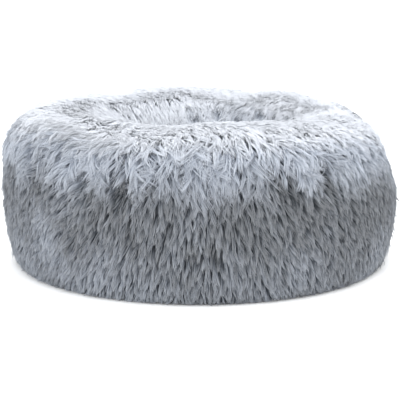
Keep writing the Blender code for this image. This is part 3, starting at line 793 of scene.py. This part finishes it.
# Inside the well at the back right the pile stands in tufts; the whole patch is painted darker, as painted shade
# between them.
painted_shade_back_right = (np.exp(-(turned_from(turn, 150) / 34) ** 2) * smooth(CREST_RUN + 0.03, CREST_RUN + 0.055, run)
                * (1 - smooth(CREST_RUN + 0.09, CREST_RUN + 0.12, run)))
tone = ((0.42 * smooth(0.142, 0.208, frost_and_painted_light_run) + 0.58 * smooth(0.208, 0.262, frost_and_painted_light_run))
        # Painted shade: the lower wall of the well, and the back right patch inside it, are darker.
        * (1 - 0.46 * smooth(CREST_RUN + 0.11, CREST_RUN + 0.16, run) - 0.3 * painted_shade_back_right)
        + 0.05 + 0.10 * tone_noise(run, turn) * (1 - 0.8 * smooth(0.21, 0.25, run))
        # Random tone by lock and strand; the partings are painted darker, as painted shade.
        + (0.06 * lock_random[:, 4] + 0.05 * own[:, 4]) * (1 - 0.5 * crown_zone) - 0.5 * parted
        # Painted light: the foot of the wall is lighter, against the floor's shade, and the flanks are lighter too.
        + (0.13 * (1 - smooth(0.03, 0.13, run)) + painted_flank_light) * (1 - smooth(0.13, 0.2, run)) - 0.02
        - 0.09 * fringe * np.exp(-((from_front - 24) / 26) ** 2))
tone = np.clip(tone, 0, 1)
thick = 0.00053 + 0.00011 * own[:, 3] - 0.00009 * fringe + 0.00012 * crown_zone
# The strands are grouped by bearing into pieces of an even size.
chosen = np.flatnonzero(keep)[np.argsort(turn[keep], kind="stable")]
for number, part in enumerate(np.array_split(chosen, math.ceil(len(chosen) / PIECE_STRANDS)), 1):
    piece = strand_mesh(f"bolster_fur_{number:02d}", points[part], normals[part], thick[part], tone[part])
    piece.data.materials.append(long_fur)
    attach(piece, "bed")

# ---- Bolster cover ------------------------------------------------------------------------------------------------
# The fur's knitted back, sewn into a ring and stuffed through the zip. It shows only between the locks: as shade on
# the walls, where it is dyed charcoal. Under the frosted crest it is painted pale, as painted light over the shade
# between the locks.
def skin_points(skin, rows, turns, deeper=0.0):
    """Points of rings round the skin at the given runs, set deeper than it."""
    angle = np.arange(turns) / turns * 2 * math.pi
    where, _ = skin.place(np.repeat(rows, turns), np.tile(angle, len(rows)), np.full(len(rows) * turns, -deeper))
    return where


# Warp-knitted polyester: quite matt, with a grain of loops 1 mm across.
PAINTED_PALE_FROM, PAINTED_PALE_TO = 0.165, 0.205  # the height at which the knit is painted pale, as painted light under the crest
knit, tree, shader = bare_material("knitted polyester fur back, charcoal to pale", 0.95)
place = add(tree, "ShaderNodeTexCoord").outputs["Object"]
grain = add(tree, "ShaderNodeTexNoise", Vector=place, Scale=900.0, Detail=3.0).outputs["Fac"]
# Above the shoulder the charcoal knit is painted pale: painted light, not the knit's own colour.
height_up = add(tree, "ShaderNodeSeparateXYZ", _0=place).outputs[2]
painted_pale_share = add(tree, "ShaderNodeMapRange", {"clamp": True}, Value=height_up, From_Min=PAINTED_PALE_FROM, From_Max=PAINTED_PALE_TO)
charcoal = add(tree, "ShaderNodeMix", COLOURS, _0=grain, _6=linear("#3A3E46"), _7=linear("#6A6F78"))
frosted = add(tree, "ShaderNodeMix", COLOURS, _0=grain, _6=linear("#BCC2CB"), _7=linear("#D4D8DF"))
colour = add(tree, "ShaderNodeMix", COLOURS, _0=painted_pale_share.outputs[0], _6=charcoal.outputs[2], _7=frosted.outputs[2])
tree.links.new(colour.outputs[2], shader.inputs["Base Color"])
STUFFED, COVER_TURNS, CASE_TURNS = 0.6, 360, 180
rows = np.concatenate([np.arange(0, 0.034, 0.0017), np.linspace(0.034, bolster.length, 130)])
cover = mesh_piece("bolster_cover_back", skin_points(bolster, rows, COVER_TURNS),
                   loft((len(rows), COVER_TURNS), wrap_rows=True), knit, "bed")
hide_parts("bolster_cover")

# Inside it a case of spun-bonded polypropylene, papery with small pressed points, and the loose siliconised fibre
# that fills it, white and fluffy.
spun_bond, tree, shader = bare_material("spun-bonded polypropylene, white", 0.8)
place = add(tree, "ShaderNodeTexCoord").outputs["Object"]
press = add(tree, "ShaderNodeTexVoronoi", {"feature": "F1"}, Vector=place, Scale=600.0).outputs["Distance"]
colour = add(tree, "ShaderNodeMix", COLOURS, _0=press, _6=linear("#C8CACC"), _7=linear("#ECEDEE"))
tree.links.new(colour.outputs[2], shader.inputs["Base Color"])
tree.links.new(add(tree, "ShaderNodeBump", Height=press, Distance=0.0002).outputs[0], shader.inputs["Normal"])
fibre, tree, shader = bare_material("loose siliconised polyester fibre, white", 0.9)
place = add(tree, "ShaderNodeTexCoord").outputs["Object"]
fluff = add(tree, "ShaderNodeTexNoise", Vector=place, Scale=120.0, Detail=8.0, Distortion=2.0).outputs["Fac"]
colour = add(tree, "ShaderNodeMix", COLOURS, _0=fluff, _6=linear("#DADBDC"), _7=linear("#F7F7F7"))
tree.links.new(colour.outputs[2], shader.inputs["Base Color"])
tree.links.new(add(tree, "ShaderNodeBump", Height=fluff, Distance=0.002).outputs[0], shader.inputs["Normal"])
rows = np.linspace(0.004, bolster.length - 0.004, 90)
for name, deeper, node, material, slot in (
        ("bolster_insert_case", 0.011, "bolster_liner", spun_bond, "lining"),
        ("bolster_stuffing", 0.0155, "bolster_fill", fibre, "fibre")):
    piece = mesh_piece(name, skin_points(bolster, rows, CASE_TURNS, deeper),
                       loft((len(rows), CASE_TURNS), wrap_rows=True), material, "bed")
    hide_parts(node)

# ---- Centre cushion -----------------------------------------------------------------------------------------------
# A loose round cushion of the same fur, softer combed, in the well. Its top is crowned and its side rolls under to
# a plain cloth underside. It lies on the well's lining and lifts straight out.
CUSHION_FOOT, CUSHION_HEM, CUSHION_BELT, CUSHION_WIDE, CUSHION_TOP = 0.0038, 0.0055, 0.040, 0.1372, 0.0898
CUSHION_TUCK, CUSHION_PILE, CUSHION_STUFFED, CUSHION_TURNS = 0.010, 0.012, 0.7, 120
low_z = np.linspace(CUSHION_HEM, CUSHION_BELT, 12)
tuck = CUSHION_TUCK * (1 - (low_z - CUSHION_FOOT) / (CUSHION_BELT - CUSHION_FOOT)) ** 2
side = np.stack([CUSHION_WIDE - tuck, low_z], 1)
crown = superellipse((0.0, CUSHION_BELT), (CUSHION_WIDE, CUSHION_TOP - CUSHION_BELT), 2.7, 0, 88.5, 80)
dimples = waves(31, 10, (1, 6), (0, 40))
pad = Skin(np.concatenate([side, crown[1:]]), CUSHION_PILE,
           lambda run, turn: 0.0025 * dimples(run, turn) * smooth(0.0, 0.06, run) * (1 - smooth(0.12, 0.17, run)))
rows = np.linspace(0, pad.length, 60)
pad_points = skin_points(pad, rows, CUSHION_TURNS)
for name, size, rise, node, material, slot in (
        ("cushion_cover_back", 1, 0, "cushion_cover", knit, "fur"),
        ("cushion_insert_case", 0.96, 0.001, "cushion_liner", spun_bond, "lining"),
        ("cushion_stuffing", 0.92, -0.0005, "cushion_fill", fibre, "fibre")):
    nested = pad_points * size + (0, 0, CUSHION_BELT * (1 - size) + rise)
    turned_in = nested[:CUSHION_TURNS] * (0.5, 0.5, 1)
    piece = mesh_piece(name, np.concatenate([turned_in, nested]), loft((len(rows) + 1, CUSHION_TURNS)), material,
                       "centre_cushion")
    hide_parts(node)
CUSHION_CLOTH = 0.1155
profile = disc_profile(CUSHION_CLOTH, 0.0039, 0.0047, 0.004)
slack = turned_points(profile, CUSHION_TURNS, lambda r, t: 0.00015 * np.sin(11 * t) * np.sin(90 * r))
piece = mesh_piece("cushion_underside", slack, loft((len(profile), CUSHION_TURNS)), taffeta, "centre_cushion")
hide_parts("cushion_base")

CUSHION_STRANDS, CUSHION_LOCK = 24000, (0.0045, 0.0105)
CUSHION_REACH = 0.1384  # how far out its pile may stand
cushion_lean = waves(33, 8, (1, 4), (8, 40))


class FlatSkin:
    """The cushion's skin laid flat from its middle, so pile can be combed straight across the middle."""

    def __init__(self, skin):
        self.skin = skin
        self.length = skin.length

    def radius(self, run):
        """1 everywhere, so that north is a length and not a turn."""
        return np.full(np.shape(run), 1.0)

    def place(self, east, north, lift):
        """The point that stands a lift off the skin, so far east and north of its middle."""
        far = np.hypot(east, north)
        return self.skin.place(self.skin.length - far, np.arctan2(north, east), lift)


def cushion_comb(east, north):
    """The pile lies one way across the cushion in loose waves, and turns a little outwards near its side."""
    far = np.hypot(east, north) + 1e-6
    outwards = 0.45 * smooth(0.03, 0.13, far)
    angle = 0.55 * cushion_lean(far, np.arctan2(north, east)) * smooth(0.0, 0.04, far)
    x = outwards * east / far + 0.55
    y = outwards * north / far - 0.83
    c, s = np.cos(angle), np.sin(angle)
    x, y = x * c - y * s, x * s + y * c
    size = np.hypot(x, y)
    return x / size, y / size


run, turn = scattered(rng, pad, CUSHION_STRANDS, 0.0, pad.length, lambda r: 1 + 0 * r)
lock, lock_run, lock_turn, locks = nearest_lock(rng, pad, run, turn, *CUSHION_LOCK)
lock_random = rng.uniform(-1, 1, (locks, 5))[lock]
own = rng.uniform(-1, 1, (CUSHION_STRANDS, 5))
length = LONG + 0.005 * lock_random[:, 0] + 0.003 * own[:, 0]
height = (0.0115 + 0.0028 * lock_random[:, 1] + 0.0018 * own[:, 1]
          + 0.0022 * (1 - smooth(0.04, 0.08, run)))
gather = 0.65 + 0.2 * lock_random[:, 2]
twist = 0.2 * lock_random[:, 3]
sway = 0.09 * own[:, 2]
far, lock_far = pad.length - run, pad.length - lock_run
lead = (lock_far * np.cos(lock_turn), lock_far * np.sin(lock_turn), gather)
cushion_points, cushion_normals, _ = grown(FlatSkin(pad), (far * np.cos(turn), far * np.sin(turn)), (lead,),
                                           cushion_comb, 0.0, length, height, twist, sway)
spread = np.hypot(cushion_points[..., 0], cushion_points[..., 1])
cushion_points[..., :2] *= (np.minimum(spread, CUSHION_REACH) / np.maximum(spread, 1e-6))[..., None]
cushion_points[..., 2] = np.maximum(cushion_points[..., 2], CUSHION_HEM + 0.0006 * own[:, 3:4])
# Painted shade: the cushion's pile is darker low on its side, in the groove beside the well's wall.
tone = np.clip(0.80 + 0.10 * lock_random[:, 4] + 0.06 * own[:, 4] - 0.4 * (1 - smooth(0.01, 0.06, run)), 0, 1)
thick = 0.00060 + 0.00012 * own[:, 3]
order = np.argsort(turn, kind="stable")
for number, part in enumerate(np.array_split(order, 2), 1):
    piece = strand_mesh(f"cushion_fur_{number:02d}", cushion_points[part], cushion_normals[part], thick[part],
                        tone[part])
    piece.data.materials.append(long_fur)
    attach(piece, "centre_cushion")

# ---- Care label ---------------------------------------------------------------------------------------------------
# A blank white satin ribbon, caught in the seam of base and fur at the back and lying out on the floor.
LABEL_BEARING, LABEL_IN, LABEL_OUT, LABEL_WIDE, LABEL_HALF_THICK = 165, 0.266, 0.2955, 0.024, 0.00012
SATIN_PITCH = 0.0005
# Satin: smooth, with a sheen along its floats, so it is the shiniest cloth of the bed.
satin = woven("woven polyester satin ribbon, white", SATIN_PITCH, "#D8D8D4", "#F4F4F0", 0.35, 0.0001,
              Sheen_Weight=0.3)
along = np.linspace(LABEL_IN, LABEL_OUT, 16)
across = np.linspace(-LABEL_WIDE / 2, LABEL_WIDE / 2, 9)
c, s = math.cos(math.radians(LABEL_BEARING)), math.sin(math.radians(LABEL_BEARING))
label_points = []
for r in along:
    middle = 0.00045 + 0.00025 * math.sin((r - LABEL_IN) * 260)
    row = [(y, middle + LABEL_HALF_THICK) for y in across] + [(y, middle - LABEL_HALF_THICK) for y in across[::-1]]
    label_points += [(r * c - y * s, r * s + y * c, z) for y, z in row]
piece = mesh_piece("care_ribbon", label_points, loft((len(along), 2 * len(across))), satin, "bed")
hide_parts("care_label")

# ---- Floor and light ----------------------------------------------------------------------------------------------
# A plain white studio floor under a broad soft light from above, with weaker fills from the front, sides and back.
REACH = 30.0
floor_mesh = bpy.data.meshes.new("studio_floor")
floor_mesh.from_pydata([(-REACH, -REACH, 0), (REACH, -REACH, 0), (REACH, REACH, 0), (-REACH, REACH, 0)], [],
                       [(0, 1, 2, 3)])
floor = bpy.data.objects.new("studio_floor", floor_mesh)
bpy.context.scene.collection.objects.link(floor)
paper, tree, shader = bare_material("white matt paper", 0.9, Base_Color=(0.93, 0.93, 0.93, 1))
floor_mesh.materials.append(paper)

# Each light: its name, its strength, how soft it is, and the angles it is turned by, in degrees.
for name, strength, softness, turned in (
        ("overhead_light", 2.65, 50, (6, 3, 0)), ("front_fill", 1.4, 60, (76, 0, -6)),
        ("left_fill", 1.55, 60, (84, 0, -72)), ("right_fill", 0.6, 60, (84, 0, 78)),
        ("back_fill", 0.5, 60, (80, 0, 180))):
    lamp = bpy.data.lights.new(name, "SUN")
    lamp.energy = strength
    lamp.angle = math.radians(softness)
    light = bpy.data.objects.new(name, lamp)
    light.rotation_euler = [math.radians(angle) for angle in turned]
    bpy.context.scene.collection.objects.link(light)
world = bpy.data.worlds.new("studio")
world.use_nodes = True
background = world.node_tree.nodes["Background"]
background.inputs["Color"].default_value = (0.96, 0.98, 1.0, 1)
background.inputs["Strength"].default_value = 1.0
bpy.context.scene.world = world
bpy.context.scene.view_settings.view_transform = "Standard"
bpy.context.scene.view_settings.look = "None"
